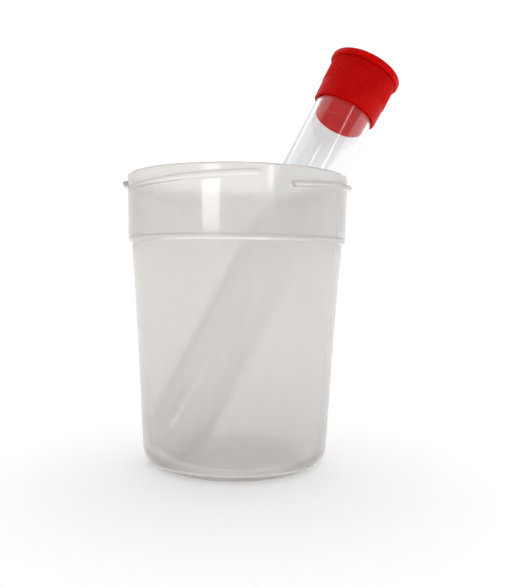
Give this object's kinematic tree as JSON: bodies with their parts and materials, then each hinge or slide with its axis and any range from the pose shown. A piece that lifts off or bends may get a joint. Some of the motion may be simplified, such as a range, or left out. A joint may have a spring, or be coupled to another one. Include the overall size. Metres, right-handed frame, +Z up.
{
  "type": "sample cup with stoppered tube",
  "caption": "Open screw-neck sample cup in translucent plastic, with a clear sample tube that has a ribbed push-in stopper standing in it and leaning on its rim.",
  "frame": {"origin": "centre of the cup's foot ring, on the plane the cup stands on", "axes": "+Z up along the cup's own axis; +X is close to the side that the tube leans to; -Y is the front"},
  "size_m": [0.0766, 0.0632, 0.1148],
  "materials": {
    "polypropylene": "translucent natural polypropylene, moulded, satin gloss",
    "polystyrene": "clear polystyrene, moulded, polished",
    "polyethylene": "red low-density polyethylene, moulded, soft gloss"
  },
  "bodies": {
    "cup": {"cup": "polypropylene"},
    "tube": {"tube": "polystyrene"},
    "stopper": {"stopper": "polyethylene"}
  },
  "joints": [
    {"name": "tube_lift", "type": "slide", "parent": "cup", "child": "tube", "axis": [0.453, 0.0897, 0.887], "range_m": [0, 0.09]},
    {"name": "stopper_pull", "type": "slide", "parent": "tube", "child": "stopper", "axis": [0.453, 0.0897, 0.887], "range_m": [0, 0.018]}
  ]
}
